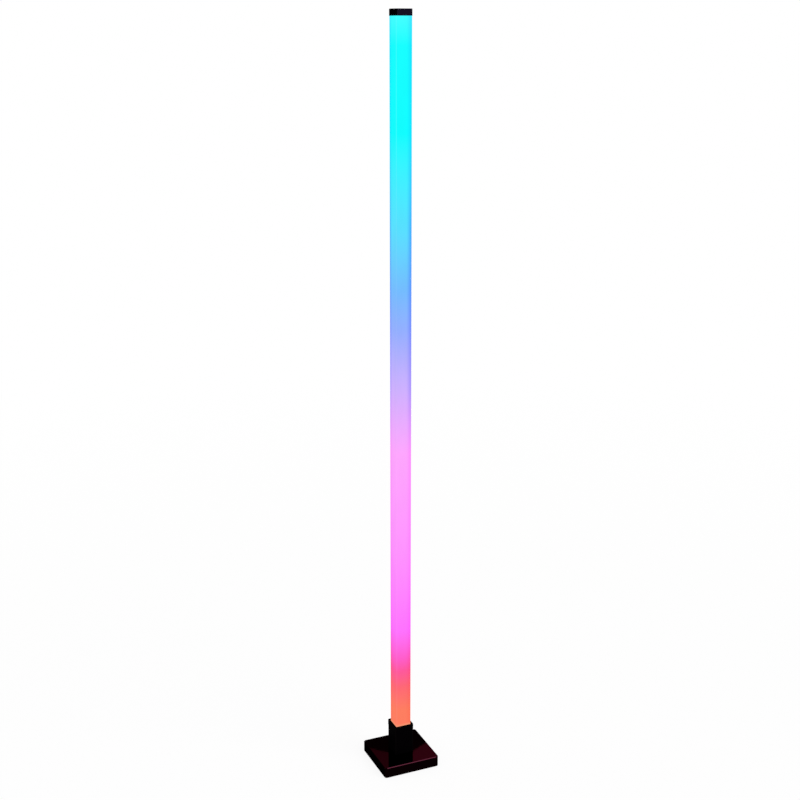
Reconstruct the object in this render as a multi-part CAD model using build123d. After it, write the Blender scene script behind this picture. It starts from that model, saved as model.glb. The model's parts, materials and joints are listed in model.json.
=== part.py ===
"""Square LED floor lamp: a lit diffuser pole that plugs into a socket on a weighted base.

Millimetres, +Z up. The origin is on the floor under the middle of the base, and -Y is the front.
"""

import os

from build123d import *

# Overall size
TOTAL_HEIGHT = 1420.0  # floor to the top of the end cap

# Base shell
BASE_SIDE = 113.0
SHELL_HEIGHT = 21.0  # without the feet
SHELL_WALL = 3.0
SHELL_CEILING = 3.0
SHELL_CORNER_RADIUS = 5.0
SHELL_INNER_RADIUS = 2.0
SHELL_EDGE_CHAMFER = 1.0
SHELL_RIM_CHAMFER = 0.5
CORNER_INSET = 11.0  # outer side to the axis of a corner boss, its screw and its foot
BOSS_DIAMETER = 8.0
RIB_THICKNESS = 2.0
RIB_INSET = 19.0  # outer side to the middle of a rib

# Bottom cover and feet
COVER_THICKNESS = 2.5
COVER_GAP = 0.25
FOOT_SIDE = 14.0
FOOT_THICKNESS = 1.5

# Counterweight
WEIGHT_THICKNESS = 9.0
WEIGHT_GAP = 0.8
WEIGHT_EDGE_CHAMFER = 0.8

# Screws: shank diameter, length under the head, head diameter, head height
COVER_SCREW = (2.9, 8.0, 5.4, 1.4)
SOCKET_SCREW = (2.9, 9.0, 5.6, 1.8)
BOARD_SCREW = (2.0, 5.0, 3.8, 1.2)
SCREW_PILOT_GAP = 0.05  # between a shank and the pilot hole it cuts its thread in
SCREW_HOLE_GAP = 0.3  # between a shank or head and a clearance hole
SCREW_PILOT_SPARE = 0.8  # pilot hole beyond the tip

# Post socket
SOCKET_SIDE = 38.0
SOCKET_RISE = 59.0  # above the top of the base
SOCKET_SEAT = 1.0  # sunk into the top of the base
SOCKET_SEAT_GAP = 0.1
SOCKET_FLOOR = 10.0  # thickness above the top of the base
SOCKET_CORNER_RADIUS = 3.0
SOCKET_LIP_HEIGHT = 10.0  # band round the mouth
SOCKET_LIP_PROUD = 0.5
SOCKET_RIM_CHAMFER = 0.4
SOCKET_LEAD_IN = 0.8
SOCKET_SCREW_OFFSET = 11.0  # screw axes from the middle, along X and along Y

# Diffuser tube and its end fittings
TUBE_SIDE = 30.0
TUBE_WALL = 1.6
TUBE_CORNER_RADIUS = 2.0
TUBE_BORE_RADIUS = 0.4
POLE_CLEARANCE = 0.3  # between the tube and the socket, each side
PLUG_GAP = 0.15  # between the tube and what is pushed into it, each side
PLUG_HEIGHT = 36.0
CAP_HEIGHT = 11.5
CAP_OVERHANG = 0.5
CAP_EDGE_CHAMFER = 0.8
INSERT_DEPTH = 6.0  # cap insert, inside the tube
INSERT_RISE = 6.0  # cap insert, inside the cap
INSERT_GAP = 0.1

# Light engine
STRIP_WIDTH = 10.0
STRIP_THICKNESS = 0.4
STRIP_END_GAP = 2.0  # strip end to the cap insert
SPINE_MARGIN = 2.0  # spine beyond each edge of a strip
SPINE_THICKNESS = 3.0
SPINE_GAP = 0.15
SPINE_SEAT = 8.0  # spine inside the cap insert
SPINE_SOCKET = 14.0  # spine inside the foot plug
LED_SIZE = 5.0
LED_THICKNESS = 1.6
LED_PITCH = 1000.0 / 30.0
LED_START = 8.0  # foot plug to the first LED's middle

# Plug-in contacts between base and pole
CONTACT_COUNT = 3
CONTACT_PITCH = 4.0
CONTACT_END = 3.0  # outer contact's axis to the end of its block
CONTACT_BLOCK_WIDTH = 8.0
CONTACT_BLOCK_GAP = 0.2
CONTACT_HOLE_GAP = 0.05  # between a contact and the hole in its block
HEADER_HEIGHT = 6.0
RECEPTACLE_HEIGHT = 10.0
RECEPTACLE_SETBACK = 0.3
PIN_SIDE = 1.6
PIN_REACH = 7.0
PIN_TAIL = 2.0
PIN_TIP_CHAMFER = 0.5
SLEEVE_GAP = 0.3
SLEEVE_WALL = 0.5
CHAMBER_CLEARANCE = 0.5
CHAMBER_WIDTH = 7.0

# Flat leads, one conductor to each contact
BASE_LEAD_THICKNESS = 1.3
POLE_LEAD_THICKNESS = 1.0
POLE_LEAD_OFFSET = 0.7  # middle of each of the pole's two leads from the row of sleeves
POLE_LEAD_RISE = 4.0  # height of each straight and slanting run
LEAD_BEND_RADIUS = 2.0
LEAD_RUN_RISE = 2.4  # height of the base lead's run over the board
LEAD_PAD_INSET = 3.0  # board's front edge to the base lead's end
LEAD_SLOT_CLEARANCE = 1.5

# Control board at the back of the base
BOARD_WIDTH = 50.0
BOARD_DEPTH = 28.0
BOARD_THICKNESS = 1.6
BOARD_CORNER_RADIUS = 1.5
BOARD_WALL_GAP = 0.5
BOARD_BAY_GAP = 3.0  # board to counterweight
STANDOFF_DIAMETER = 5.0
STANDOFF_INSET = 4.0
CHIP_SIZE = (7.0, 7.0, 1.2)
DRIVER_SIZE = (5.0, 4.0, 1.5)
RADIO_SIZE = (14.0, 11.0, 2.4)
CAPACITOR_DIAMETER = 6.3
CAPACITOR_HEIGHT = 5.8
PART_SPACING = 2.0  # between parts on the board

# Power inlet
PORT_RISE = 9.5  # inlet's axis above the rim of the shell
PORT_OFFSET = 9.0  # inlet to one side of the middle, button to the other
PORT_PANEL = (36.0, 10.0)
PORT_PANEL_DEPTH = 1.2
PORT_PANEL_RADIUS = 2.0
PORT_WIDTH = 8.94
PORT_HEIGHT = 3.26
PORT_LENGTH = 7.3
PORT_SHEET = 0.3
PORT_GAP = 0.3
PORT_SETBACK = 0.5  # mouth behind the panel's face
TONGUE_WIDTH = 6.6
TONGUE_THICKNESS = 0.7
TONGUE_EDGE_RADIUS = 0.2
TONGUE_SETBACK = 0.8  # tongue behind the mouth
TONGUE_BLOCK = 2.0

# Mode button
BUTTON_DIAMETER = 6.4
BUTTON_GAP = 0.3
BUTTON_PROUD = 0.9  # above the panel's face
BUTTON_TRAVEL = 0.8
BUTTON_EDGE_CHAMFER = 0.4
BUTTON_FLANGE = 1.0  # flange width and thickness
BUTTON_FLANGE_GAP = 0.1
BUTTON_STEM_DIAMETER = 2.8
BUTTON_STEM = 1.5
BUTTON_NOTCH_GAP = 1.0
SWITCH_WIDTH = 6.2
SWITCH_DEPTH = 4.6
SWITCH_HEIGHT = 3.2
PLUNGER_DIAMETER = 1.8
PLUNGER_PROUD = 1.6
PLUNGER_SEAT = 1.5
PLUNGER_GAP = 0.25

# Heights and places in the base
RIM_Z = FOOT_THICKNESS
BASE_TOP_Z = RIM_Z + SHELL_HEIGHT
CEILING_Z = BASE_TOP_Z - SHELL_CEILING
COVER_TOP_Z = RIM_Z + COVER_THICKNESS
COVER_SEAT_Z = RIM_Z + COVER_SCREW[3]
WEIGHT_TOP_Z = COVER_TOP_Z + WEIGHT_THICKNESS
INNER_SIDE = BASE_SIDE - 2 * SHELL_WALL
CORNER = BASE_SIDE / 2 - CORNER_INSET
CORNERS = [(sx * CORNER, sy * CORNER) for sx in (-1, 1) for sy in (-1, 1)]

# Heights and places in the socket
SEAT_Z = BASE_TOP_Z - SOCKET_SEAT
SOCKET_RIM_Z = BASE_TOP_Z + SOCKET_RISE
SOCKET_MOUTH = TUBE_SIDE + 2 * POLE_CLEARANCE
SOCKET_SCREWS = [(side * SOCKET_SCREW_OFFSET, side * SOCKET_SCREW_OFFSET) for side in (-1, 1)]
POLE_BOTTOM_Z = BASE_TOP_Z + SOCKET_FLOOR
HEADER_BOTTOM_Z = POLE_BOTTOM_Z - HEADER_HEIGHT
PIN_BOTTOM_Z = HEADER_BOTTOM_Z - PIN_TAIL

# Heights and places in the pole
TUBE_TOP_Z = TOTAL_HEIGHT - CAP_HEIGHT
TUBE_BORE = TUBE_SIDE - 2 * TUBE_WALL
PLUG_SIDE = TUBE_BORE - 2 * PLUG_GAP
PLUG_TOP_Z = POLE_BOTTOM_Z + PLUG_HEIGHT
INSERT_BOTTOM_Z = TUBE_TOP_Z - INSERT_DEPTH
INSERT_TOP_Z = TUBE_TOP_Z + INSERT_RISE
RECEPTACLE_BOTTOM_Z = POLE_BOTTOM_Z + RECEPTACLE_SETBACK
RECEPTACLE_TOP_Z = RECEPTACLE_BOTTOM_Z + RECEPTACLE_HEIGHT
SPINE_BOTTOM_Z = PLUG_TOP_Z - SPINE_SOCKET
SPINE_TOP_Z = INSERT_BOTTOM_Z + SPINE_SEAT
SPINE_WIDTH = STRIP_WIDTH + 2 * SPINE_MARGIN
SPINE_SLOT = (SPINE_WIDTH + 2 * SPINE_GAP, SPINE_THICKNESS + 2 * SPINE_GAP)
STRIP_TOP_Z = INSERT_BOTTOM_Z - STRIP_END_GAP
STRIP_FACE_Y = SPINE_THICKNESS / 2 + STRIP_THICKNESS

# Contacts and leads
CONTACT_SPAN = (CONTACT_COUNT - 1) * CONTACT_PITCH
CONTACT_X = [i * CONTACT_PITCH - CONTACT_SPAN / 2 for i in range(CONTACT_COUNT)]
CONTACT_BLOCK = CONTACT_SPAN + 2 * CONTACT_END
CONTACT_POCKET = (CONTACT_BLOCK + 2 * CONTACT_BLOCK_GAP, CONTACT_BLOCK_WIDTH + 2 * CONTACT_BLOCK_GAP)
SLEEVE_BORE = PIN_SIDE + 2 * SLEEVE_GAP
SLEEVE_SIDE = SLEEVE_BORE + 2 * SLEEVE_WALL
BASE_LEAD_WIDTH = CONTACT_SPAN + BASE_LEAD_THICKNESS
POLE_LEAD_WIDTH = CONTACT_SPAN + POLE_LEAD_THICKNESS
LEAD_SLOT = (BASE_LEAD_WIDTH + 2 * LEAD_SLOT_CLEARANCE, BASE_LEAD_THICKNESS + 2 * LEAD_SLOT_CLEARANCE)
CHAMBER = (max(STRIP_WIDTH, POLE_LEAD_WIDTH) + 2 * CHAMBER_CLEARANCE, CHAMBER_WIDTH)

# Places at the back of the base
INNER_WALL_Y = BASE_SIDE / 2 - SHELL_WALL
PANEL_Y = BASE_SIDE / 2 - PORT_PANEL_DEPTH
PORT_Z = RIM_Z + PORT_RISE
PORT_X = -PORT_OFFSET
PORT_MOUTH_Y = PANEL_Y - PORT_SETBACK
PORT_INNER_Y = PORT_MOUTH_Y - PORT_LENGTH
BOARD_REAR_Y = INNER_WALL_Y - BOARD_WALL_GAP
BOARD_FRONT_Y = BOARD_REAR_Y - BOARD_DEPTH
BOARD_MID_Y = BOARD_REAR_Y - BOARD_DEPTH / 2
BOARD_UNDER_Z = PORT_Z + PORT_HEIGHT / 2
BOARD_TOP_Z = BOARD_UNDER_Z + BOARD_THICKNESS
STANDOFF_X = BOARD_WIDTH / 2 - STANDOFF_INSET
STANDOFF_Y = BOARD_DEPTH / 2 - STANDOFF_INSET
STANDOFFS = [(side * STANDOFF_X, BOARD_MID_Y + side * STANDOFF_Y) for side in (-1, 1)]
BUTTON_X = PORT_OFFSET
BUTTON_Z = BOARD_UNDER_Z - SWITCH_HEIGHT / 2
BUTTON_FACE_Y = PANEL_Y + BUTTON_PROUD
FLANGE_REAR_Y = INNER_WALL_Y - BUTTON_FLANGE_GAP
FLANGE_FRONT_Y = FLANGE_REAR_Y - BUTTON_FLANGE
FLANGE_DIAMETER = BUTTON_DIAMETER + 2 * BUTTON_FLANGE
PLUNGER_TIP_Y = FLANGE_FRONT_Y - BUTTON_STEM
SWITCH_FACE_Y = PLUNGER_TIP_Y - PLUNGER_PROUD

LOW = (Align.CENTER, Align.CENTER, Align.MIN)


def square_bar(side, radius, low, high):
    """Upright square bar with rounded corners, on the lamp's axis."""
    return Pos(0, 0, low) * extrude(RectangleRounded(side, side, radius), high - low)


def block(length, width, low, high, x=0.0, y=0.0):
    """Upright block around the point x, y."""
    return Pos(x, y, low) * Box(length, width, high - low, align=LOW)


def rod(diameter, low, high, x=0.0, y=0.0):
    """Upright rod around the point x, y."""
    return Pos(x, y, low) * Cylinder(diameter / 2, high - low, align=LOW)


def rear_rod(diameter, front, rear, x, z):
    """Rod along Y between two places."""
    return Pos(x, front, z) * Rot(-90, 0, 0) * Cylinder(diameter / 2, rear - front, align=LOW)


def rear_slot(width, height, radius, front, rear, x, z):
    """Rounded bar along Y between two places."""
    plane = Plane((x, front, z), x_dir=(1, 0, 0), z_dir=(0, 1, 0))
    return extrude(plane * RectangleRounded(width, height, radius), rear - front, dir=(0, 1, 0))


def port_bar(inset, front, rear):
    """Bar along Y with the inlet's outline, drawn in by an inset."""
    height = PORT_HEIGHT - 2 * inset
    radius = (height - PORT_SHEET) / 2
    return rear_slot(PORT_WIDTH - 2 * inset, height, radius, front, rear, PORT_X, PORT_Z)


def screw(size, x, y, seat):
    """Screw pointing up, with its flat head under the seat."""
    shank, length, head, head_height = size
    return rod(head, seat - head_height, seat, x, y) + rod(shank, seat, seat + length, x, y)


def pilot(size, x, y, seat, start):
    """Hole that a screw on the seat cuts its thread in, from the height where the boss starts."""
    shank, length = size[:2]
    return rod(shank + 2 * SCREW_PILOT_GAP, start, seat + length + SCREW_PILOT_SPARE, x, y)


def clearance_hole(size, x, y, low, high):
    """Hole that a screw's shank passes freely."""
    return rod(size[0] + 2 * SCREW_HOLE_GAP, low, high, x, y)


def flat_lead(points, width, thickness):
    """Flat lead in the YZ plane, along straight runs joined by tangent arcs."""
    path = FilletPolyline(*[(0, y, z) for y, z in points], radius=LEAD_BEND_RADIUS)
    section = Plane(path @ 0, x_dir=(1, 0, 0), z_dir=path % 0) * Rectangle(width, thickness)
    return sweep(section, path=path)


def base_shell():
    """Moulded housing, open below: bosses, ribs, standoffs, the socket's seat and the rear panel."""
    body = square_bar(BASE_SIDE, SHELL_CORNER_RADIUS, RIM_Z, BASE_TOP_Z)
    body = chamfer(body.faces().sort_by(Axis.Z)[-1].edges(), SHELL_EDGE_CHAMFER)
    body = chamfer(body.faces().sort_by(Axis.Z)[0].edges(), SHELL_RIM_CHAMFER)
    body -= square_bar(INNER_SIDE, SHELL_INNER_RADIUS, RIM_Z, CEILING_Z)
    for x, y in CORNERS:
        body += rod(BOSS_DIAMETER, COVER_TOP_Z, CEILING_Z, x, y)
        body -= pilot(COVER_SCREW, x, y, COVER_SEAT_Z, COVER_TOP_Z)
    rib = BASE_SIDE / 2 - RIB_INSET
    for side in (-1, 1):
        body += block(RIB_THICKNESS, INNER_SIDE, WEIGHT_TOP_Z, CEILING_Z, x=side * rib)
    body += block(INNER_SIDE, RIB_THICKNESS, WEIGHT_TOP_Z, CEILING_Z, y=-rib)
    for x, y in STANDOFFS:
        body += rod(STANDOFF_DIAMETER, BOARD_TOP_Z, CEILING_Z, x, y)
        body -= pilot(BOARD_SCREW, x, y, BOARD_UNDER_Z, BOARD_TOP_Z)
    body -= square_bar(SOCKET_SIDE + 2 * SOCKET_SEAT_GAP, SOCKET_CORNER_RADIUS, SEAT_Z, BASE_TOP_Z)
    body -= block(*LEAD_SLOT, CEILING_Z, SEAT_Z)
    for x, y in SOCKET_SCREWS:
        body -= clearance_hole(SOCKET_SCREW, x, y, CEILING_Z, SEAT_Z)
    body -= rear_slot(*PORT_PANEL, PORT_PANEL_RADIUS, PANEL_Y, BASE_SIDE / 2, 0, PORT_Z)
    body -= port_bar(-PORT_GAP, INNER_WALL_Y, PANEL_Y)
    body -= rear_rod(BUTTON_DIAMETER + 2 * BUTTON_GAP, INNER_WALL_Y, PANEL_Y, BUTTON_X, BUTTON_Z)
    return body


def bottom_cover():
    """Plate that closes the shell, with its screws' heads sunk at the corners."""
    cover = square_bar(INNER_SIDE - 2 * COVER_GAP, SHELL_INNER_RADIUS, RIM_Z, COVER_TOP_Z)
    for x, y in CORNERS:
        cover -= rod(COVER_SCREW[2] + 2 * SCREW_HOLE_GAP, RIM_Z, COVER_SEAT_Z, x, y)
        cover -= clearance_hole(COVER_SCREW, x, y, COVER_SEAT_Z, COVER_TOP_Z)
    return cover


def rubber_feet():
    """Four square glued pads that hide the cover's screws."""
    return [block(FOOT_SIDE, FOOT_SIDE, 0, RIM_Z, x, y) for x, y in CORNERS]


def counterweight():
    """Steel plate on the cover, cut away for the corner bosses and for the board's bay at the back."""
    side = INNER_SIDE - 2 * WEIGHT_GAP
    plate = block(side, side, COVER_TOP_Z, WEIGHT_TOP_Z)
    corner = side / 2 - CORNER + BOSS_DIAMETER / 2 + WEIGHT_GAP
    middle = (side - corner) / 2
    for x, y in CORNERS:
        plate -= block(corner, corner, COVER_TOP_Z, WEIGHT_TOP_Z, x / CORNER * middle, y / CORNER * middle)
    bay = (BOARD_WIDTH + 2 * BOARD_BAY_GAP, side / 2 - BOARD_FRONT_Y + BOARD_BAY_GAP)
    plate -= block(*bay, COVER_TOP_Z, WEIGHT_TOP_Z, 0, (side - bay[1]) / 2)
    return chamfer(plate.faces().sort_by(Axis.Z)[-1].outer_wire().edges(), WEIGHT_EDGE_CHAMFER)


def post_socket():
    """Square collar with a lip, which the pole stands in: its floor takes the screws and the header."""
    lip_side = SOCKET_SIDE + 2 * SOCKET_LIP_PROUD
    lip_radius = SOCKET_CORNER_RADIUS + SOCKET_LIP_PROUD
    lip = square_bar(lip_side, lip_radius, SOCKET_RIM_Z - SOCKET_LIP_HEIGHT, SOCKET_RIM_Z)
    lip = chamfer(lip.faces().sort_by(Axis.Z)[-1].edges(), SOCKET_RIM_CHAMFER)
    body = square_bar(SOCKET_SIDE, SOCKET_CORNER_RADIUS, SEAT_Z, SOCKET_RIM_Z - SOCKET_LIP_HEIGHT) + lip
    body -= square_bar(SOCKET_MOUTH, TUBE_CORNER_RADIUS, POLE_BOTTOM_Z, SOCKET_RIM_Z)
    wide = SOCKET_MOUTH + 2 * SOCKET_LEAD_IN
    narrow_end = RectangleRounded(SOCKET_MOUTH, SOCKET_MOUTH, TUBE_CORNER_RADIUS)
    wide_end = RectangleRounded(wide, wide, TUBE_CORNER_RADIUS)
    body -= loft([Pos(0, 0, SOCKET_RIM_Z - SOCKET_LEAD_IN) * narrow_end, Pos(0, 0, SOCKET_RIM_Z) * wide_end])
    body -= block(*CONTACT_POCKET, HEADER_BOTTOM_Z, POLE_BOTTOM_Z)
    body -= block(*LEAD_SLOT, SEAT_Z, HEADER_BOTTOM_Z)
    for x, y in SOCKET_SCREWS:
        body -= pilot(SOCKET_SCREW, x, y, CEILING_Z, SEAT_Z)
    return body


def contact_block(hole, low, high):
    """Insulator block with a square hole for each contact."""
    body = block(CONTACT_BLOCK, CONTACT_BLOCK_WIDTH, low, high)
    for x in CONTACT_X:
        body -= block(hole, hole, low, high, x)
    return body


def contact_header():
    """Insulator block in the socket's floor that carries the pins."""
    return contact_block(PIN_SIDE + 2 * CONTACT_HOLE_GAP, HEADER_BOTTOM_Z, POLE_BOTTOM_Z)


def contact_pins():
    """Square plug pins that stand up from the socket's floor."""
    pins = []
    for x in CONTACT_X:
        pin = block(PIN_SIDE, PIN_SIDE, PIN_BOTTOM_Z, POLE_BOTTOM_Z + PIN_REACH, x)
        pins.append(chamfer(pin.faces().sort_by(Axis.Z)[-1].edges(), PIN_TIP_CHAMFER))
    return pins


def base_leads():
    """Flat lead from the board's pads, over the counterweight and up to the pins."""
    pad_y = BOARD_FRONT_Y + LEAD_PAD_INSET
    run_z = BOARD_TOP_Z + LEAD_RUN_RISE
    route = [(pad_y, BOARD_TOP_Z), (pad_y, run_z), (0, run_z), (0, PIN_BOTTOM_Z)]
    return flat_lead(route, BASE_LEAD_WIDTH, BASE_LEAD_THICKNESS)


def control_board():
    """Circuit board under its standoffs, notched where the button's flange travels."""
    outline = Pos(0, BOARD_MID_Y) * RectangleRounded(BOARD_WIDTH, BOARD_DEPTH, BOARD_CORNER_RADIUS)
    board = Pos(0, 0, BOARD_UNDER_Z) * extrude(outline, BOARD_THICKNESS)
    for x, y in STANDOFFS:
        board -= clearance_hole(BOARD_SCREW, x, y, BOARD_UNDER_Z, BOARD_TOP_Z)
    notch = FLANGE_DIAMETER + 2 * BUTTON_NOTCH_GAP
    depth = BOARD_REAR_Y - SWITCH_FACE_Y
    board -= block(notch, depth, BOARD_UNDER_Z, BOARD_TOP_Z, BUTTON_X, BOARD_REAR_Y - depth / 2)
    return board


def under_board(size, x, y):
    """Part soldered to the underside of the board."""
    return block(size[0], size[1], BOARD_UNDER_Z - size[2], BOARD_UNDER_Z, x, y)


def board_chips():
    """Controller and LED driver."""
    driver_x = -(CHIP_SIZE[0] + DRIVER_SIZE[0]) / 2 - PART_SPACING
    return [under_board(CHIP_SIZE, 0, BOARD_MID_Y), under_board(DRIVER_SIZE, driver_x, BOARD_MID_Y)]


def radio_module():
    """Shielded radio for the remote control."""
    x = (CHIP_SIZE[0] + RADIO_SIZE[0]) / 2 + PART_SPACING
    return under_board(RADIO_SIZE, x, BOARD_MID_Y - PART_SPACING)


def supply_capacitor():
    """Can capacitor across the supply."""
    x = -CHIP_SIZE[0] / 2 - DRIVER_SIZE[0] - 2 * PART_SPACING - CAPACITOR_DIAMETER / 2
    return rod(CAPACITOR_DIAMETER, BOARD_UNDER_Z - CAPACITOR_HEIGHT, BOARD_UNDER_Z, x, BOARD_MID_Y)


def port_shell():
    """Sheet-metal sleeve of the power inlet."""
    return port_bar(0, PORT_INNER_Y, PORT_MOUTH_Y) - port_bar(PORT_SHEET, PORT_INNER_Y, PORT_MOUTH_Y)


def port_tongue():
    """Insulator that closes the inlet's back and carries the contact tongue."""
    back = port_bar(PORT_SHEET, PORT_INNER_Y, PORT_INNER_Y + TONGUE_BLOCK)
    tip_y = PORT_MOUTH_Y - TONGUE_SETBACK
    section = (TONGUE_WIDTH, TONGUE_THICKNESS, TONGUE_EDGE_RADIUS)
    return back + rear_slot(*section, PORT_INNER_Y, tip_y, PORT_X, PORT_Z)


def switch_body():
    """Side-push switch under the board, bored for its plunger."""
    size = (SWITCH_WIDTH, SWITCH_DEPTH, SWITCH_HEIGHT)
    body = under_board(size, BUTTON_X, SWITCH_FACE_Y - SWITCH_DEPTH / 2)
    bore = PLUNGER_DIAMETER + 2 * PLUNGER_GAP
    depth = PLUNGER_SEAT + BUTTON_TRAVEL + PLUNGER_GAP
    return body - rear_rod(bore, SWITCH_FACE_Y - depth, SWITCH_FACE_Y, BUTTON_X, BUTTON_Z)


def mode_button():
    """Push button kept in the panel by its flange."""
    cap = rear_rod(BUTTON_DIAMETER, FLANGE_FRONT_Y, BUTTON_FACE_Y, BUTTON_X, BUTTON_Z)
    cap = chamfer(cap.edges().sort_by(Axis.Y)[-1], BUTTON_EDGE_CHAMFER)
    flange = rear_rod(FLANGE_DIAMETER, FLANGE_FRONT_Y, FLANGE_REAR_Y, BUTTON_X, BUTTON_Z)
    stem = rear_rod(BUTTON_STEM_DIAMETER, PLUNGER_TIP_Y, FLANGE_FRONT_Y, BUTTON_X, BUTTON_Z)
    return cap + flange + stem


def switch_plunger():
    """Plunger of the switch, which the button's stem pushes."""
    return rear_rod(PLUNGER_DIAMETER, SWITCH_FACE_Y - PLUNGER_SEAT, PLUNGER_TIP_Y, BUTTON_X, BUTTON_Z)


def diffuser_tube():
    """Milky square tube."""
    outer = square_bar(TUBE_SIDE, TUBE_CORNER_RADIUS, POLE_BOTTOM_Z, TUBE_TOP_Z)
    return outer - square_bar(TUBE_BORE, TUBE_BORE_RADIUS, POLE_BOTTOM_Z, TUBE_TOP_Z)


def foot_plug():
    """Plug in the foot of the tube: a pocket for the receptacle, a lead chamber and the spine's seat."""
    body = block(PLUG_SIDE, PLUG_SIDE, POLE_BOTTOM_Z, PLUG_TOP_Z)
    body -= block(*CONTACT_POCKET, POLE_BOTTOM_Z, RECEPTACLE_TOP_Z)
    body -= block(*CHAMBER, RECEPTACLE_TOP_Z, PLUG_TOP_Z)
    return body - block(*SPINE_SLOT, SPINE_BOTTOM_Z, PLUG_TOP_Z)


def contact_receptacle():
    """Insulator block in the plug that carries the sleeves."""
    return contact_block(SLEEVE_SIDE + 2 * CONTACT_HOLE_GAP, RECEPTACLE_BOTTOM_Z, RECEPTACLE_TOP_Z)


def contact_sleeves():
    """Square sleeves that the base's pins plug into."""
    sleeves = []
    for x in CONTACT_X:
        outer = block(SLEEVE_SIDE, SLEEVE_SIDE, RECEPTACLE_BOTTOM_Z, RECEPTACLE_TOP_Z, x)
        sleeves.append(outer - block(SLEEVE_BORE, SLEEVE_BORE, RECEPTACLE_BOTTOM_Z, RECEPTACLE_TOP_Z, x))
    return sleeves


def led_spine():
    """Flat aluminium bar up the middle of the tube."""
    return block(SPINE_WIDTH, SPINE_THICKNESS, SPINE_BOTTOM_Z, SPINE_TOP_Z)


def led_strip(side):
    """Flexible board along one face of the spine: side -1 is the front, 1 the rear."""
    y = side * (SPINE_THICKNESS + STRIP_THICKNESS) / 2
    return block(STRIP_WIDTH, STRIP_THICKNESS, SPINE_BOTTOM_Z, STRIP_TOP_Z, y=y)


def leds(side):
    """LED packages along one strip."""
    y = side * (STRIP_FACE_Y + LED_THICKNESS / 2)
    first = PLUG_TOP_Z + LED_START
    count = int((STRIP_TOP_Z - LED_SIZE - first) // LED_PITCH) + 1
    heights = [first + i * LED_PITCH for i in range(count)]
    return [block(LED_SIZE, LED_THICKNESS, z - LED_SIZE / 2, z + LED_SIZE / 2, y=y) for z in heights]


def pole_leads():
    """Two flat leads from the sleeves, one to each strip."""
    face = STRIP_FACE_Y + POLE_LEAD_THICKNESS / 2
    levels = [RECEPTACLE_TOP_Z + i * POLE_LEAD_RISE for i in range(3)]
    end = SPINE_BOTTOM_Z + POLE_LEAD_RISE
    leads = []
    for side in (-1, 1):
        start = side * POLE_LEAD_OFFSET
        route = [(start, levels[0]), (start, levels[1]), (side * face, levels[2]), (side * face, end)]
        leads.append(flat_lead(route, POLE_LEAD_WIDTH, POLE_LEAD_THICKNESS))
    return leads


def cap_insert():
    """White plug that joins the cap to the tube and holds the spine's upper end."""
    body = block(PLUG_SIDE, PLUG_SIDE, INSERT_BOTTOM_Z, INSERT_TOP_Z)
    return body - block(*SPINE_SLOT, INSERT_BOTTOM_Z, SPINE_TOP_Z + SPINE_GAP)


def top_cap():
    """End cap that sits on the tube's rim."""
    side = TUBE_SIDE + 2 * CAP_OVERHANG
    body = square_bar(side, TUBE_CORNER_RADIUS + CAP_OVERHANG, TUBE_TOP_Z, TOTAL_HEIGHT)
    body = chamfer(body.faces().sort_by(Axis.Z)[-1].edges(), CAP_EDGE_CHAMFER)
    pocket = PLUG_SIDE + 2 * INSERT_GAP
    return body - block(pocket, pocket, TUBE_TOP_Z, INSERT_TOP_Z + INSERT_GAP)


NODES = {
    "base_shell": base_shell(),
    "bottom_cover": bottom_cover(),
    "rubber_feet": rubber_feet(),
    "cover_screws": [screw(COVER_SCREW, x, y, COVER_SEAT_Z) for x, y in CORNERS],
    "counterweight": counterweight(),
    "post_socket": post_socket(),
    "socket_screws": [screw(SOCKET_SCREW, x, y, CEILING_Z) for x, y in SOCKET_SCREWS],
    "contact_header": contact_header(),
    "contact_pins": contact_pins(),
    "base_leads": base_leads(),
    "control_board": control_board(),
    "board_screws": [screw(BOARD_SCREW, x, y, BOARD_UNDER_Z) for x, y in STANDOFFS],
    "board_chips": board_chips(),
    "radio_module": radio_module(),
    "supply_capacitor": supply_capacitor(),
    "port_shell": port_shell(),
    "port_tongue": port_tongue(),
    "switch_body": switch_body(),
    "switch_plunger": switch_plunger(),
    "mode_button": mode_button(),
    "diffuser_tube": diffuser_tube(),
    "foot_plug": foot_plug(),
    "contact_receptacle": contact_receptacle(),
    "contact_sleeves": contact_sleeves(),
    "pole_leads": pole_leads(),
    "led_spine": led_spine(),
    "led_strip_front": led_strip(-1),
    "led_strip_rear": led_strip(1),
    "leds_front": leds(-1),
    "leds_rear": leds(1),
    "cap_insert": cap_insert(),
    "top_cap": top_cap(),
}

os.makedirs("parts", exist_ok=True)
for name, shape in NODES.items():
    export_step(Compound(children=shape) if isinstance(shape, list) else shape, f"parts/{name}.step")
print("pole's depth in its socket", SOCKET_RIM_Z - POLE_BOTTOM_Z, "button's travel", BUTTON_TRAVEL)
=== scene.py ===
"""Looks of the LED floor lamp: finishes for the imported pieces, a white studio and the photograph's camera.

Metres, +Z up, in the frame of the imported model. Colours are written as 0-255 display values,
and the lacquers' tints as linear shares.
"""

import json
import math

import bpy
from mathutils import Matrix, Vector


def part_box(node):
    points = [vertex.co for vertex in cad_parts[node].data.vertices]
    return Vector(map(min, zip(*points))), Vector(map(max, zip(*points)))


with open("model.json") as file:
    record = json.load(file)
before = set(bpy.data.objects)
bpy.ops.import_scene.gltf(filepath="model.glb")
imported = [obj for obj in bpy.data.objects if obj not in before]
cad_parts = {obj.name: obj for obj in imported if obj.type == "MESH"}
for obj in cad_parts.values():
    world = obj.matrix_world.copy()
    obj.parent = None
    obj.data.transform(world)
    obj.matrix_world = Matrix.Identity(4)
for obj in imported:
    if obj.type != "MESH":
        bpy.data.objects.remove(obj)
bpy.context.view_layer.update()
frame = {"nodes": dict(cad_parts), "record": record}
NODES = frame["nodes"]

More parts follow.
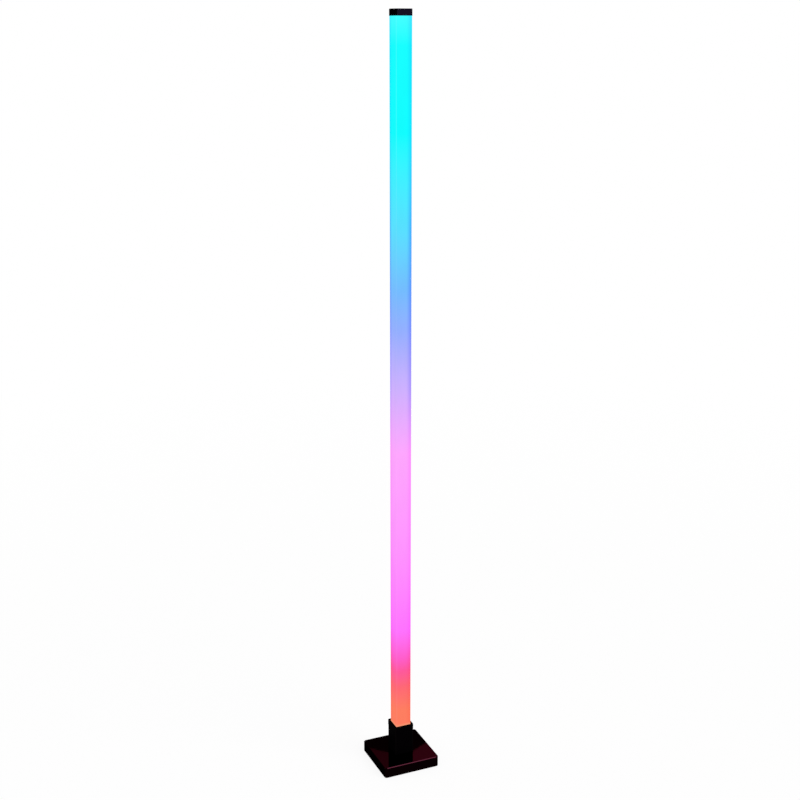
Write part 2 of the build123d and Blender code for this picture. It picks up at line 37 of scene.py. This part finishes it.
# Photograph's camera, fitted to the outlines of the base, socket, pole and cap
IMAGE_SIZE = 800.0
CAMERA_AZIMUTH = math.radians(-23.5115)
CAMERA_DISTANCE = 2.2609
CAMERA_HEIGHT = 1.3902
CAMERA_PITCH = math.radians(16.096)
CAMERA_TURN = math.radians(0.030)  # to the left of the pole
CAMERA_FOCAL_PIXELS = 1292.55
SENSOR_WIDTH = 36.0

# Studio
FLOOR_SIZE = 30.0
FLOOR_ALBEDO = 0.85
FLOOR_WHITENESS = 0.90  # share of the floor's look that doesn't darken in the object's shadow
FLOOR_FADE = (1.0, 3.0)  # where the floor turns wholly white, metres from the lamp
AMBIENT = 0.72
KEY_STRENGTH = 1.7
KEY_SPREAD = math.radians(40)
KEY_FROM = (0.5, -0.75, 0.75)

# Softboxes that only gloss shows: a lower corner, the way the lower edge runs, width, height and brightness
SOFTBOXES = {
    "softbox_rear_left": ((0.2428, 0.5811, 0.4225), (-0.671, 0.741), 0.6, 0.5, 9.5),
    "softbox_rear_right": ((0.2868, 0.5811, 0.4225), (0.8985, 0.439), 0.6, 0.5, 17.0),
    "softbox_left": ((-0.925, 0.278, 0.55), (0.616, 0.788), 0.7, 0.55, 12.0),
    "softbox_front": ((0.25, -1.10, 1.15), (0.87, 0.49), 0.6, 0.5, 35.0),
}

# Levels of the lamp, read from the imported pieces
TUBE_LOW, TUBE_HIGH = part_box("diffuser_tube")
SOCKET_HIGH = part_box("post_socket")[1]
PLUG_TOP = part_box("foot_plug")[1].z

# The pole's colours, from the top down: height in metres, colour, and what is left of the colour's
# weaker channels along the two corners where painted shade deepens it
GLOW = [
    (1.407, (66, 253, 254), 0.76),  # pale cyan under the cap
    (1.361, (22, 253, 254), 0.76),  # cyan
    (1.215, (16, 252, 254), 0.74),  # cyan, as far as here
    (1.047, (89, 222, 254), 0.50),  # sky
    (0.940, (117, 187, 254), 0.54),  # cornflower
    (0.868, (148, 174, 254), 0.58),  # periwinkle
    (0.757, (207, 176, 254), 0.64),  # lilac
    (0.640, (254, 166, 254), 0.70),  # pink
    (0.446, (254, 146, 254), 0.76),  # orchid
    (0.283, (254, 114, 254), 0.74),  # magenta
    (0.225, (254, 93, 201), 0.74),  # rose
    (0.199, (254, 89, 156), 0.74),  # raspberry
    (0.165, (254, 104, 117), 0.76),  # salmon
    (0.115, (254, 126, 97), 0.80),  # coral, down to the socket
]
RIM_GLOW = (255, 158, 118)  # paler line where the socket's rim throws the light back
RIM_GLOW_RISE = 0.002
MILKY = (214, 212, 208)  # the wall where the foot plug shades it, inside the socket
UNLIT = (0, 0, 0)
GLOW_STRENGTH = 0.95
GLOW_REFLECTED = 0.06  # share of the glow's colour that the milky wall also reflects
PAINTED_SHADE_CORNERS = (0.62, 1.02)  # painted shade: where the colour deepens, as a share of the way from the middle to a corner
PAINTED_HIGHLIGHT_CORNERS = (0.15, 0.45)  # painted highlight: where the other two corners pale, as the product of the normal's x and y
PAINTED_HIGHLIGHT_WHITE = 0.035  # white of the painted highlight along them
CLOUD_CELLS = 55.0  # faint clouds in the glow, in cells to the metre
CLOUD_STRETCH = (1, 1, 0.25)
CLOUD_DARKEST = 0.975
TUBE_ROUGHNESS = 0.38
TUBE_GLOSS = 0.001  # low, so that the softboxes don't pale the glow
TUBE_LINES = 900.0  # fine lines that run up the tube, in cells to the metre
TUBE_LINE_STRETCH = (1, 1, 0.02)
TUBE_LINE_DEPTH = 0.00004

# The black parts
BLACK = (3, 2, 3)
SOCKET_GLOSS = 0.0003  # low, because the white studio would otherwise veil the black
BASE_GLOSS = 0.35
BASE_TINT = (0.13, 0.029, 0.052)  # wine
BASE_ROUGHNESS = (0.02, 0.04)
BASE_WAVES = (220.0, 0.000008)  # cells to the metre, and depth
CAP_GLOSS = 0.043
CAP_TINT = (0.084, 0.069, 0.150)  # blue black
CAP_ROUGHNESS = (0.15, 0.22)
CAP_GRAIN = (480.0, 0.00002)
LACQUER_DRIFT = 120.0  # drift of colour and roughness, in cells to the metre
LACQUER_DARKEST = 0.7
MOULDED_DRIFT = 60.0
MOULDED_DARKEST = 0.75
BEVEL = (0.97, 0.80)  # largest part of the normal, from a flat face to a bevelled edge

# All finishes, with noises in cells to the metre and depths in metres
WHITE = (255, 255, 255)
NOISE_SPAN = (0.3, 0.7)  # where most of a noise lies
PLASTIC_DRIFT = 90.0
PLASTIC_GRAIN_DEPTH = 0.00003
PLASTIC_ROUGHNESS = (0.85, 1.15)  # how far a plastic's roughness drifts, as shares of it
METAL_MARKS = 700.0
METAL_MARK_DEPTH = 0.00001
METAL_ROUGHNESS = (0.7, 1.3)
RUBBER_DUST = 260.0
RUBBER_GRAIN = (1500.0, 0.00006)
LEAD_WIDTH = 0.012  # row of contacts that the wires are told apart across
LEAD_DRIFT = 400.0
LEAD_DARKEST = 0.85
BOARD_DRIFT = 200.0
TRACK_OFFSET = 0.35
TRACKS = {"Scale": 260.0, "Mortar Size": 0.09, "Mortar Smooth": 0.1}
TRACK_DEPTH = 0.00003
LENS_EDGE = (0.0019, 0.0015)  # from the package's middle
LENS_GLOW = 0.6


def linear(colour):
    """Display colour, 0-255, as the linear colour that a shader takes."""
    steps = [c / 255 for c in colour]
    return tuple(c / 12.92 if c <= 0.04045 else ((c + 0.055) / 1.055) ** 2.4 for c in steps) + (1.0,)


def painted_shade_colour(colour, left):
    """The same colour, richer, for painted shade: its strongest channels stay, and a share of the others is
    left.
    """
    strongest = max(colour[:3])
    return tuple(c if c == strongest else c * left for c in colour[:3]) + (1.0,)


class Look:
    """A material with one Principled shader, and short ways to add nodes before it."""

    def __init__(self, name, colour, roughness, specular=0.5, metallic=0.0):
        self.material = bpy.data.materials.new(name)
        self.material.use_nodes = True
        self.tree = self.material.node_tree
        self.shader = self.tree.nodes["Principled BSDF"]
        self.set("Base Color", linear(colour))
        self.set("Roughness", roughness)
        self.set("Specular IOR Level", specular)
        self.set("Metallic", metallic)
        self.place = self.add("ShaderNodeTexCoord").outputs["Object"]

    def set(self, socket, value):
        """Constant on one of the shader's sockets."""
        self.shader.inputs[socket].default_value = value

    def add(self, kind, **settings):
        """New node with these settings."""
        made = self.tree.nodes.new(kind)
        for name, value in settings.items():
            setattr(made, name, value)
        return made

    def join(self, source, target):
        """Link from one socket to another."""
        self.tree.links.new(source, target)

    def feed(self, source, socket):
        """Link into one of the shader's sockets."""
        self.join(source, self.shader.inputs[socket])

    def noise(self, scale, stretch=(1, 1, 1), detail=3.0):
        """Noise of so many cells to the metre, stretched along the axes."""
        mapping = self.add("ShaderNodeMapping")
        mapping.inputs["Scale"].default_value = stretch
        made = self.add("ShaderNodeTexNoise")
        made.inputs["Scale"].default_value = scale
        made.inputs["Detail"].default_value = detail
        self.join(self.place, mapping.inputs["Vector"])
        self.join(mapping.outputs["Vector"], made.inputs["Vector"])
        return made.outputs["Fac"]

    def math(self, operation, *values):
        """Result of an operation on numbers or sockets."""
        made = self.add("ShaderNodeMath", operation=operation)
        for socket, value in zip(made.inputs, values):
            if isinstance(value, (int, float)):
                socket.default_value = value
            else:
                self.join(value, socket)
        return made.outputs["Value"]

    def span(self, value, low, high, to_low=0.0, to_high=1.0):
        """Value smoothly mapped from one span to another."""
        made = self.add("ShaderNodeMapRange", interpolation_type="SMOOTHSTEP")
        for name, number in zip(("From Min", "From Max", "To Min", "To Max"), (low, high, to_low, to_high)):
            made.inputs[name].default_value = number
        self.join(value, made.inputs["Value"])
        return made.outputs["Result"]

    def ramp(self, value, stops, interpolation="LINEAR"):
        """Colour looked up from (place, linear colour) stops."""
        made = self.add("ShaderNodeValToRGB")
        made.color_ramp.interpolation = interpolation
        elements = made.color_ramp.elements
        while len(elements) < len(stops):
            elements.new(1.0)
        for element, (place, colour) in zip(elements, sorted(stops)):
            element.position = place
            element.color = colour
        self.join(value, made.inputs["Fac"])
        return made.outputs["Color"]

    def mix(self, share, a, b, blend="MIX"):
        """Colour a turning into b."""
        made = self.add("ShaderNodeMix", data_type="RGBA", blend_type=blend)
        sockets = {s.identifier: s for s in made.inputs}
        for name, value in (("Factor_Float", share), ("A_Color", a), ("B_Color", b)):
            if isinstance(value, (int, float, tuple)):
                sockets[name].default_value = value
            else:
                self.join(value, sockets[name])
        return next(s for s in made.outputs if s.identifier == "Result_Color")

    def axes(self, source=None):
        """X, Y and Z of a vector, which is the place on the piece if none is given."""
        made = self.add("ShaderNodeSeparateXYZ")
        self.join(source or self.place, made.inputs["Vector"])
        return made.outputs

    def normal(self):
        """Direction that the surface faces, in the piece's own axes."""
        turned = self.add("ShaderNodeVectorTransform", vector_type="NORMAL")
        turned.convert_from = "WORLD"
        turned.convert_to = "OBJECT"
        self.join(self.add("ShaderNodeNewGeometry").outputs["Normal"], turned.inputs["Vector"])
        return turned.outputs["Vector"]

    def bump(self, height, depth):
        """Fine relief, with its depth in metres."""
        made = self.add("ShaderNodeBump")
        made.inputs["Distance"].default_value = depth
        made.inputs["Strength"].default_value = 1.0
        self.join(height, made.inputs["Height"])
        self.feed(made.outputs["Normal"], "Normal")

    def vary(self, noise, colour, other, roughness):
        """Colour and roughness that drift with a noise."""
        self.feed(self.mix(noise, linear(colour), linear(other)), "Base Color")
        self.feed(self.span(noise, *NOISE_SPAN, *roughness), "Roughness")


def shares(number, pair):
    """A number times each of two shares."""
    return tuple(number * share for share in pair)


def diffuser():
    """Milky tube lit from inside: the glow's colours run down the pole, with painted shade that deepens them
    towards two corners and a painted highlight along the other two.
    """
    look = Look("diffuser", MILKY, TUBE_ROUGHNESS, TUBE_GLOSS)
    x, y, z = look.axes()
    foot = [
        (SOCKET_HIGH.z + RIM_GLOW_RISE, *GLOW[-1][1:]),
        (SOCKET_HIGH.z, RIM_GLOW, 1.0),
        (PLUG_TOP, UNLIT, 1.0),
    ]
    height = TUBE_HIGH.z - TUBE_LOW.z
    bright = []
    painted_shade_stops = []
    for level, colour, left in GLOW + foot:
        place = (level - TUBE_LOW.z) / height
        bright.append((place, linear(colour)))
        painted_shade_stops.append((place, painted_shade_colour(linear(colour), left)))
    along = look.math("DIVIDE", look.math("SUBTRACT", z, TUBE_LOW.z), height)
    glow = look.ramp(along, bright)
    # painted shade: the glow deepens towards the two corners where x and y differ in sign
    across = look.math("ABSOLUTE", look.math("DIVIDE", look.math("SUBTRACT", x, y), 2 * TUBE_HIGH.x))
    painted_shade_glow = look.mix(look.span(across, *PAINTED_SHADE_CORNERS), glow, look.ramp(along, painted_shade_stops))
    # painted highlight: a thin white line along the two corners where the normal's x and y share a sign
    nx, ny = look.axes(look.normal())[:2]
    corner = look.span(look.math("MULTIPLY", nx, ny), *PAINTED_HIGHLIGHT_CORNERS, 0.0, PAINTED_HIGHLIGHT_WHITE)
    pale = look.mix(corner, painted_shade_glow, linear(WHITE))
    cloud = look.span(look.noise(CLOUD_CELLS, CLOUD_STRETCH), *NOISE_SPAN, CLOUD_DARKEST, 1.0)
    look.feed(look.mix(1.0, pale, cloud, "MULTIPLY"), "Emission Color")
    look.set("Emission Strength", GLOW_STRENGTH)
    reflected = look.mix(1.0, glow, (GLOW_REFLECTED,) * 3 + (1.0,), "MULTIPLY")
    look.feed(look.mix(look.span(z, PLUG_TOP, SOCKET_HIGH.z), linear(MILKY), reflected), "Base Color")
    look.bump(look.noise(TUBE_LINES, TUBE_LINE_STRETCH), TUBE_LINE_DEPTH)
    return look.material


def black_plastic(name, colour, edge_colour, roughness, specular, grain):
    """Moulded black plastic with a fine grain and a slightly different tone on its bevelled edges."""
    look = Look(name, colour, roughness, specular)
    nx, ny, nz = [look.math("ABSOLUTE", part) for part in look.axes(look.normal())]
    largest = look.math("MAXIMUM", look.math("MAXIMUM", nx, ny), nz)
    edge = look.span(largest, *BEVEL)
    drift = look.noise(MOULDED_DRIFT)
    body = look.mix(drift, linear(colour), linear([c * MOULDED_DARKEST for c in colour]))
    look.feed(look.mix(edge, body, linear(edge_colour)), "Base Color")
    look.feed(look.span(drift, *NOISE_SPAN, *shares(roughness, PLASTIC_ROUGHNESS)), "Roughness")
    look.bump(look.noise(grain, detail=2.0), PLASTIC_GRAIN_DEPTH)
    return look.material


def lacquered(name, gloss, tint, roughness, relief):
    """Black plastic under a dark tinted lacquer, which shows what it mirrors in the colour of its tint."""
    look = Look(name, BLACK, roughness[0], gloss)
    look.set("Coat Weight", 1.0)
    look.set("Coat IOR", 1.0)
    look.set("Coat Roughness", roughness[0])
    look.set("Coat Tint", (*tint, 1.0))
    look.vary(look.noise(LACQUER_DRIFT), BLACK, [c * LACQUER_DARKEST for c in BLACK], roughness)
    cells, depth = relief
    look.bump(look.noise(cells), depth)
    return look.material


def plain_plastic(name, colour, other, roughness, grain=500.0):
    """Moulded plastic with a soft drift of colour and a fine grain."""
    look = Look(name, colour, roughness)
    look.vary(look.noise(PLASTIC_DRIFT), colour, other, shares(roughness, PLASTIC_ROUGHNESS))
    look.bump(look.noise(grain), PLASTIC_GRAIN_DEPTH)
    return look.material


def metal(name, colour, other, roughness, stretch=(1, 1, 1)):
    """Metal with brushing or plating marks along its long way."""
    look = Look(name, colour, roughness, metallic=1.0)
    marks = look.noise(METAL_MARKS, stretch, detail=4.0)
    look.vary(marks, colour, other, shares(roughness, METAL_ROUGHNESS))
    look.bump(marks, METAL_MARK_DEPTH)
    return look.material


def rubber():
    """Soft rubber with a matt, dusty surface."""
    look = Look("foot_rubber", (22, 22, 23), 0.85, specular=0.25)
    look.vary(look.noise(RUBBER_DUST, detail=5.0), (18, 18, 19), (34, 33, 33), (0.75, 0.95))
    cells, depth = RUBBER_GRAIN
    look.bump(look.noise(cells), depth)
    return look.material


def lead_insulation():
    """Wires told apart by colour across the row of contacts: white, red and black."""
    look = Look("lead_insulation", (180, 20, 20), 0.45)
    x = look.axes()[0]
    across = look.math("ADD", look.math("DIVIDE", x, LEAD_WIDTH), 0.5)
    wires = [(0.0, linear((225, 225, 220))), (0.34, linear((178, 18, 18))), (0.66, linear((24, 24, 24)))]
    drift = look.span(look.noise(LEAD_DRIFT), *NOISE_SPAN, LEAD_DARKEST, 1.0)
    look.feed(look.mix(1.0, look.ramp(across, wires, "CONSTANT"), drift, "MULTIPLY"), "Base Color")
    return look.material


def circuit_board():
    """Green solder mask with paler copper tracks under it."""
    look = Look("board_green", (12, 84, 44), 0.35)
    tracks = look.add("ShaderNodeTexBrick", offset=TRACK_OFFSET)
    for socket, value in TRACKS.items():
        tracks.inputs[socket].default_value = value
    look.join(look.place, tracks.inputs["Vector"])
    body = look.mix(look.noise(BOARD_DRIFT), linear((9, 74, 38)), linear((15, 92, 50)))
    look.feed(look.mix(tracks.outputs["Fac"], body, linear((38, 128, 70))), "Base Color")
    look.bump(tracks.outputs["Fac"], TRACK_DEPTH)
    return look.material


def led_package():
    """White package with a warm phosphor that glows a little."""
    look = Look("led_package", (244, 240, 226), 0.3)
    x = look.axes()[0]
    lens = look.span(look.math("ABSOLUTE", x), *LENS_EDGE)
    colour = look.mix(lens, linear((244, 242, 236)), linear((250, 226, 150)))
    look.feed(colour, "Base Color")
    look.feed(colour, "Emission Color")
    look.set("Emission Strength", LENS_GLOW)
    return look.material


FINISHES = {
    "diffuser": diffuser(),
    "shell_black": lacquered("shell_black", BASE_GLOSS, BASE_TINT, BASE_ROUGHNESS, BASE_WAVES),
    "socket_black": black_plastic("socket_black", BLACK, (9, 6, 7), 0.4, SOCKET_GLOSS, 480.0),
    "cap_black": lacquered("cap_black", CAP_GLOSS, CAP_TINT, CAP_ROUGHNESS, CAP_GRAIN),
    "button_black": black_plastic("button_black", (26, 26, 28), (44, 44, 46), 0.4, 0.3, 900.0),
    "cover_black": black_plastic("cover_black", (24, 24, 25), (38, 38, 39), 0.6, 0.2, 1200.0),
    "chip_black": plain_plastic("chip_black", (26, 26, 28), (36, 36, 38), 0.55),
    "contact_block": plain_plastic("contact_block", (30, 30, 32), (40, 40, 42), 0.5),
    "plug_white": plain_plastic("plug_white", (236, 236, 232), (222, 222, 218), 0.45),
    "plunger_white": plain_plastic("plunger_white", (232, 232, 228), (214, 214, 210), 0.4),
    "strip_white": plain_plastic("strip_white", (240, 240, 236), (226, 226, 220), 0.4, 1500.0),
    "led_package": led_package(),
    "foot_rubber": rubber(),
    "lead_insulation": lead_insulation(),
    "board_green": circuit_board(),
    "contact_brass": metal("contact_brass", (222, 176, 92), (198, 150, 70), 0.25),
    "weight_steel": metal("weight_steel", (170, 170, 172), (140, 140, 144), 0.4, (1, 0.05, 1)),
    "screw_steel": metal("screw_steel", (196, 196, 194), (168, 168, 166), 0.3),
    "shield_steel": metal("shield_steel", (206, 206, 204), (184, 184, 182), 0.28, (0.1, 1, 1)),
    "capacitor_can": metal("capacitor_can", (212, 213, 216), (190, 192, 196), 0.3, (1, 1, 0.05)),
    "spine_aluminium": metal("spine_aluminium", (214, 215, 217), (192, 193, 196), 0.35, (1, 1, 0.02)),
}


def dress_pieces():
    """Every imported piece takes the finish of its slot."""
    for part in frame["record"]["subparts"]:
        mesh = NODES[part["node"]].data
        mesh.materials.clear()
        mesh.materials.append(FINISHES[part["material_slot"]])


def seen_directly(tree):
    """1 for rays from the camera, a mirror or glass, which show the white background, and 0 for light."""
    rays = tree.nodes.new("ShaderNodeLightPath")
    total = rays.outputs["Is Camera Ray"]
    for name in ("Is Glossy Ray", "Is Transmission Ray"):
        larger = tree.nodes.new("ShaderNodeMath")
        larger.operation = "MAXIMUM"
        tree.links.new(total, larger.inputs[0])
        tree.links.new(rays.outputs[name], larger.inputs[1])
        total = larger.outputs["Value"]
    return total


def white_world():
    """White to the eye, and a plain soft light on the object."""
    world = bpy.data.worlds.new("studio")
    bpy.context.scene.world = world
    world.use_nodes = True
    tree = world.node_tree
    tree.nodes.clear()
    seen = tree.nodes.new("ShaderNodeBackground")
    light = tree.nodes.new("ShaderNodeBackground")
    light.inputs["Strength"].default_value = AMBIENT
    for background in (seen, light):
        background.inputs["Color"].default_value = linear(WHITE)
    blend = tree.nodes.new("ShaderNodeMixShader")
    tree.links.new(seen_directly(tree), blend.inputs["Fac"])
    tree.links.new(light.outputs["Background"], blend.inputs[1])
    tree.links.new(seen.outputs["Background"], blend.inputs[2])
    output = tree.nodes.new("ShaderNodeOutputWorld")
    tree.links.new(blend.outputs["Shader"], output.inputs["Surface"])


def white_floor():
    """Pale floor that keeps a soft shadow under the lamp."""
    bpy.ops.mesh.primitive_plane_add(size=FLOOR_SIZE)
    floor = bpy.context.object
    floor.name = "floor"
    material = bpy.data.materials.new("floor")
    material.use_nodes = True
    tree = material.node_tree
    tree.nodes.clear()
    matt = tree.nodes.new("ShaderNodeBsdfDiffuse")
    matt.inputs["Color"].default_value = (FLOOR_ALBEDO,) * 3 + (1.0,)
    white = tree.nodes.new("ShaderNodeEmission")
    away = tree.nodes.new("ShaderNodeVectorMath")
    away.operation = "LENGTH"
    tree.links.new(tree.nodes.new("ShaderNodeTexCoord").outputs["Object"], away.inputs[0])
    whiteness = tree.nodes.new("ShaderNodeMapRange")
    for name, number in zip(("From Min", "From Max", "To Min"), (*FLOOR_FADE, FLOOR_WHITENESS)):
        whiteness.inputs[name].default_value = number
    tree.links.new(away.outputs["Value"], whiteness.inputs["Value"])
    share = tree.nodes.new("ShaderNodeMath")
    share.operation = "MULTIPLY"
    tree.links.new(seen_directly(tree), share.inputs[0])
    tree.links.new(whiteness.outputs["Result"], share.inputs[1])
    blend = tree.nodes.new("ShaderNodeMixShader")
    tree.links.new(share.outputs["Value"], blend.inputs["Fac"])
    tree.links.new(matt.outputs["BSDF"], blend.inputs[1])
    tree.links.new(white.outputs["Emission"], blend.inputs[2])
    output = tree.nodes.new("ShaderNodeOutputMaterial")
    tree.links.new(blend.outputs["Shader"], output.inputs["Surface"])
    floor.data.materials.append(material)


def key_light():
    """One broad, soft light in front, above and to the right."""
    data = bpy.data.lights.new("key", "SUN")
    data.energy = KEY_STRENGTH
    data.angle = KEY_SPREAD
    lamp = bpy.data.objects.new("key", data)
    bpy.context.scene.collection.objects.link(lamp)
    lamp.rotation_mode = "QUATERNION"
    lamp.rotation_quaternion = Vector(KEY_FROM).to_track_quat("Z", "Y")


def softboxes():
    """Upright panels with their front on the lamp's side, which only gloss shows."""
    up = Vector((0.0, 0.0, 1.0))
    for name, (corner, way, width, height, brightness) in SOFTBOXES.items():
        data = bpy.data.lights.new(name, "AREA")
        data.shape = "RECTANGLE"
        data.size = width
        data.size_y = height
        data.energy = brightness * math.pi * width * height
        panel = bpy.data.objects.new(name, data)
        bpy.context.scene.collection.objects.link(panel)
        along = Vector((*way, 0.0)).normalized()
        panel.location = Vector(corner) + along * width / 2 + up * height / 2
        back = along.cross(up)
        if back.dot(panel.location) < 0:
            back.negate()
        panel.rotation_mode = "QUATERNION"
        panel.rotation_quaternion = back.to_track_quat("Z", "Y")
        panel.visible_camera = False
        panel.visible_diffuse = False


def photograph_camera():
    """Camera at the photograph's viewing angle."""
    data = bpy.data.cameras.new("camera")
    data.sensor_width = SENSOR_WIDTH
    data.lens = CAMERA_FOCAL_PIXELS / IMAGE_SIZE * SENSOR_WIDTH
    camera = bpy.data.objects.new("camera", data)
    bpy.context.scene.collection.objects.link(camera)
    side = CAMERA_DISTANCE * math.sin(CAMERA_AZIMUTH)
    back = -CAMERA_DISTANCE * math.cos(CAMERA_AZIMUTH)
    camera.location = (side, back, CAMERA_HEIGHT)
    camera.rotation_euler = (math.pi / 2 - CAMERA_PITCH, 0.0, CAMERA_AZIMUTH + CAMERA_TURN)
    bpy.context.scene.camera = camera


dress_pieces()
white_world()
white_floor()
key_light()
softboxes()
photograph_camera()
bpy.context.scene.view_settings.view_transform = "Standard"
